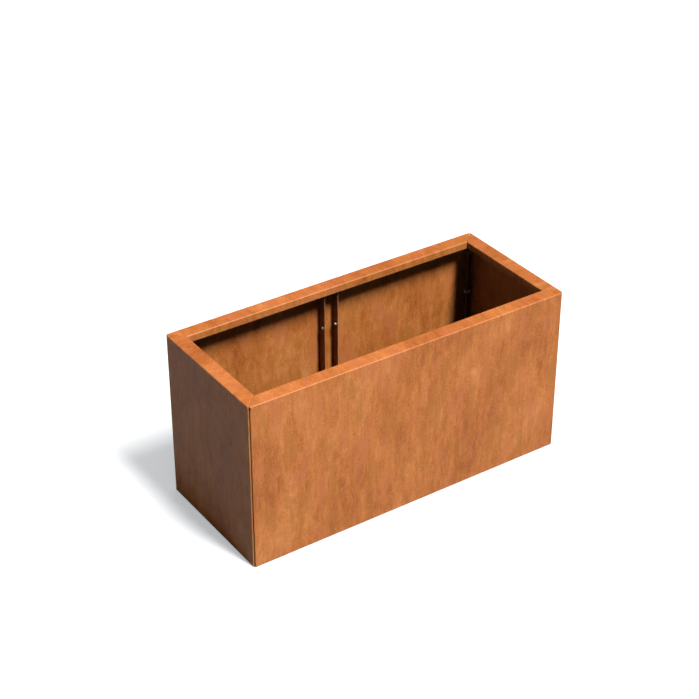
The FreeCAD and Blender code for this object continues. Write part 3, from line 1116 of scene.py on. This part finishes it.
def weathering_steel(name, tone, dust):
    """A matt rust patina, lighter on the folds, partly from wear and partly as a painted highlight,
    tan on cut edges, with painted shade in the corner grooves and on faces that look up, which
    are made darker and redder. A tone below 1 darkens it; dust is how much has settled."""
    n = Nodes(bpy.data.materials.new(name))
    coords = n.attribute("pattern", vector=True)
    mottle = n.noise(coords, MOTTLE)
    # Lighter folds: partly wear, and partly a painted highlight where the bends catch the light.
    worn_and_highlight = n.math("MULTIPLY", n.attribute("fold"), n.range(mottle, -0.25, 0.15, 0.55, 1.0))
    colour = n.mix(n.math("MULTIPLY", worn_and_highlight, 0.22), patina(n, coords), RUST_LIGHTEST)
    colour = n.mix(n.math("MULTIPLY", n.attribute("edge"), 0.8), colour, CUT_EDGE)
    # Painted shade: the corner grooves are darkened, standing in for the shade inside the groove.
    colour = n.mix(n.math("MULTIPLY", n.attribute("groove"), 0.8), colour, GROOVE_PAINTED_SHADE)
    # Painted shade: faces that look up are made darker and redder, to tone down how brightly the
    # light falls on them.
    upward_shade = n.range(n.height(n.add("NewGeometry").outputs["Normal"]), 0.5, 0.95)
    colour = n.mix(upward_shade, colour, n.mix(1.0, colour, UPWARD_PAINTED_SHADE, "MULTIPLY"))
    colour = n.mix(1.0, colour, (tone, tone, tone), "MULTIPLY")
    if dust:
        settled = n.range(n.noise(coords, SETTLED_DUST), -0.15, 0.25, 0.0, dust)
        colour = n.mix(settled, colour, DUST)
    roughness = n.math("MULTIPLY_ADD", mottle, 0.5, RUST_ROUGHNESS)
    roughness = n.math("MULTIPLY_ADD", worn_and_highlight, -0.12, roughness, clamp=True)
    normal = n.bump(n.noise(coords, SCALE_RELIEF), 0.30 * MM, 0.5)
    normal = n.bump(n.noise(coords, PIT_RELIEF), 0.12 * MM, 0.5, normal)
    return n.surface(Base_Color=colour, Roughness=roughness, Specular_IOR_Level=RUST_SPECULAR,
                     Normal=normal)


# ------- zinc

ZINC = (0.60, 0.55, 0.48)
ZINC_DARK = (0.28, 0.255, 0.215)
ZINC_STAIN = (0.30, 0.14, 0.06)


ZINC_BLOTCHES = Grain((420.0, 420.0, 420.0), 4.0, 0.65)
ZINC_FINE = Grain((2600.0, 2600.0, 2600.0), 3.0, 0.6)
ZINC_STAINS = Grain((230.0, 230.0, 230.0), 3.0, 0.6, 0.5)


def zinc_plated_steel():
    """Dull zinc, blotchy and a little stained by rust from the sheet."""
    n = Nodes(bpy.data.materials.new("zinc_plated_steel"))
    coords = n.attribute("pattern", vector=True)
    blotch = n.noise(coords, ZINC_BLOTCHES)
    fine = n.noise(coords, ZINC_FINE)
    value = n.math("MULTIPLY_ADD", blotch, 1.4, 0.55)
    value = n.math("MULTIPLY_ADD", fine, 0.5, value)
    colour = n.ramp(value, [(0.2, ZINC_DARK), (0.8, ZINC)])
    amount = n.range(n.noise(coords, ZINC_STAINS), 0.03, 0.22, 0.0, 0.6)
    colour = n.mix(amount, colour, ZINC_STAIN)
    metallic = n.math("MULTIPLY_ADD", amount, -0.9, 0.55, clamp=True)
    roughness = n.math("MULTIPLY_ADD", blotch, 0.6, 0.46)
    roughness = n.math("MULTIPLY_ADD", amount, 0.4, roughness, clamp=True)
    normal = n.bump(fine, 0.04 * MM, 0.4)
    return n.surface(Base_Color=colour, Metallic=metallic, Roughness=roughness, Normal=normal)


# ------- the planter

def build_planter():
    walls = weathering_steel("weathering_steel", 1.0, 0.0)
    end_steel = weathering_steel("weathering_steel_darker", 0.9, 0.0)
    floor_steel = weathering_steel("weathering_steel_floor", 1.0, 0.5)
    zinc = zinc_plated_steel()
    right = math.radians(90.0)
    for side, length, offset, turn, shift, material in (
            ("front", LENGTH, DEPTH / 2.0, 0.0, (0.0, 0.0, 0.0), walls),
            ("back", LENGTH, DEPTH / 2.0, 2.0 * right, (5.0, 3.0, 1.0), walls),
            ("right_end", DEPTH, LENGTH / 2.0, right, (11.0, 5.0, 3.0), end_steel),
            ("left_end", DEPTH, LENGTH / 2.0, -right, (17.0, 9.0, 4.0), walls)):
        build_panel(side, length, offset, turn, length == LENGTH, shift, material)
    build_channel("front", -1, (23.0, 2.0, 5.0), walls)
    build_channel("back", 1, (27.0, 4.0, 6.0), walls)
    build_base(floor_steel)
    for name, x_side, y_side in (("front_left", -1, -1), ("front_right", 1, -1),
                                 ("back_left", -1, 1), ("back_right", 1, 1)):
        build_corner(name, x_side, y_side, zinc)
    build_brace("front", -1, zinc)
    build_brace("back", 1, zinc)


# ------- floor, light and camera

FLOOR_HALF = 60.0
FLOOR_WHITE = (0.54, 0.54, 0.54, 1.0)
FLOOR_BOUNCE = (0.47, 0.47, 0.47, 1.0)
FLOOR_GLOW = 0.34
FLOOR_BASE = 0.26
FLOOR_GLOW_REACH = 1.0
FLOOR_NEAR = 5.0
FLOOR_FAR = 12.0
STUDIO_WHITE = (0.97, 0.985, 1.0, 1.0)
PLAIN_WHITE = (1.0, 1.0, 1.0, 1.0)

KEY_ELEVATION = 62.0
KEY_TURN = 12.0
KEY_HEIGHT_DEGREES = 18.0
KEY_WIDTH_DEGREES = 9.0
KEY_DISTANCE = 30.0
KEY_LEVEL = 1.60
SKY_LEVEL = 0.09
HORIZON_LEVEL = 0.47
HORIZON_TOP = 0.25
FILL_LEVEL = 0.07
FILL_ELEVATION = 3.0
FILL_DISTANCE = 5.0
FILL_WIDTH = 5.0
FILL_HEIGHT = 0.3

CAMERA_AZIMUTH = -34.188
CAMERA_ELEVATION = 32.026
CAMERA_LENS = 90.42
CAMERA_SENSOR = 36.0
CAMERA_DISTANCE = 5.4618
CAMERA_AIM = Vector((-0.152, -0.1169, 0.5761))


def direction_to(azimuth, elevation):
    """The direction from the planter towards a place: azimuth 0 is in front, 90 to the right."""
    turn = math.radians(azimuth)
    rise = math.radians(elevation)
    flat = math.cos(rise)
    return Vector((math.sin(turn) * flat, -math.cos(turn) * flat, math.sin(rise)))


def look_back(obj, aim, direction, distance):
    """Stands an object in a direction from a point, facing that point."""
    obj.location = aim + direction * distance
    obj.rotation_mode = "QUATERNION"
    obj.rotation_quaternion = (-direction).to_track_quat("-Z", "Y")
    bpy.context.scene.collection.objects.link(obj)


def floor_material():
    """A pale studio floor. It glows, less where the planter stands over it, which paints its shadow
    there, and more far away, so that the far floor is white; other surfaces see it as a plain grey
    floor."""
    n = Nodes(bpy.data.materials.new("studio_floor"))
    # Painted shadow: the floor's glow is dimmed by ambient occlusion near the planter.
    painted_shadow_occlusion = n.add("AmbientOcclusion", samples=8)
    painted_shadow_occlusion.inputs["Distance"].default_value = FLOOR_GLOW_REACH
    near = n.math("MULTIPLY_ADD", painted_shadow_occlusion.outputs["AO"], FLOOR_GLOW, FLOOR_BASE)
    distance = n.add("VectorMath", operation="LENGTH")
    n.feed(distance.inputs[0], n.add("NewGeometry").outputs["Position"])
    far = n.range(distance.outputs["Value"], FLOOR_NEAR, FLOOR_FAR)
    glow = n.shader("Emission", Color=STUDIO_WHITE, Strength=n.math("ADD", near, far))
    seen = n.add("AddShader")
    n.feed(seen.inputs[0], n.shader("BsdfDiffuse", Color=FLOOR_WHITE))
    n.feed(seen.inputs[1], glow)
    unseen = n.shader("BsdfDiffuse", Color=FLOOR_BOUNCE)
    return n.split_by_camera(seen.outputs[0], unseen, "OutputMaterial")


def build_floor():
    s = FLOOR_HALF
    mesh = bpy.data.meshes.new("studio_floor")
    mesh.from_pydata([(-s, -s, 0), (s, -s, 0), (s, s, 0), (-s, s, 0)], [], [(0, 1, 2, 3)])
    mesh.materials.append(floor_material())
    obj = bpy.data.objects.new("studio_floor", mesh)
    bpy.context.scene.collection.objects.link(obj)


def build_world():
    """A soft room: bright low down, dim overhead, and plain white to the camera."""
    n = Nodes(bpy.data.worlds.new("studio"))
    rise = n.height(n.add("TexCoord").outputs["Generated"])
    level = n.range(rise, 0.0, HORIZON_TOP, HORIZON_LEVEL, SKY_LEVEL, "LINEAR")
    room = n.shader("Background", Color=STUDIO_WHITE, Strength=level)
    white = n.shader("Background", Color=PLAIN_WHITE)
    bpy.context.scene.world = n.split_by_camera(white, room, "OutputWorld")


def build_lamp(name, azimuth, elevation, distance, width, height, level):
    """A soft lamp whose level is the brightness it gives a white surface that faces it."""
    data = bpy.data.lights.new(name, "AREA")
    data.shape = "ELLIPSE"
    data.size = width
    data.size_y = height
    data.energy = level * math.pi * math.pi * distance * distance
    lamp = bpy.data.objects.new(name, data)
    look_back(lamp, Vector((0.0, 0.0, HEIGHT / 2.0)), direction_to(azimuth, elevation), distance)


def build_lights():
    width = 2.0 * KEY_DISTANCE * math.tan(math.radians(KEY_WIDTH_DEGREES / 2.0))
    height = 2.0 * KEY_DISTANCE * math.tan(math.radians(KEY_HEIGHT_DEGREES / 2.0))
    build_lamp("key", KEY_TURN, KEY_ELEVATION, KEY_DISTANCE, width, height, KEY_LEVEL)
    build_lamp("front_fill", 0.0, FILL_ELEVATION, FILL_DISTANCE, FILL_WIDTH, FILL_HEIGHT,
               FILL_LEVEL)
    bpy.context.scene.cycles.diffuse_bounces = 0


def build_camera():
    data = bpy.data.cameras.new("camera")
    data.lens = CAMERA_LENS
    data.sensor_width = CAMERA_SENSOR
    camera = bpy.data.objects.new("camera", data)
    look_back(camera, CAMERA_AIM, direction_to(CAMERA_AZIMUTH, CAMERA_ELEVATION), CAMERA_DISTANCE)
    bpy.context.scene.camera = camera


build_planter()
build_floor()
build_world()
build_lights()
build_camera()
bpy.context.scene.view_settings.view_transform = "Standard"
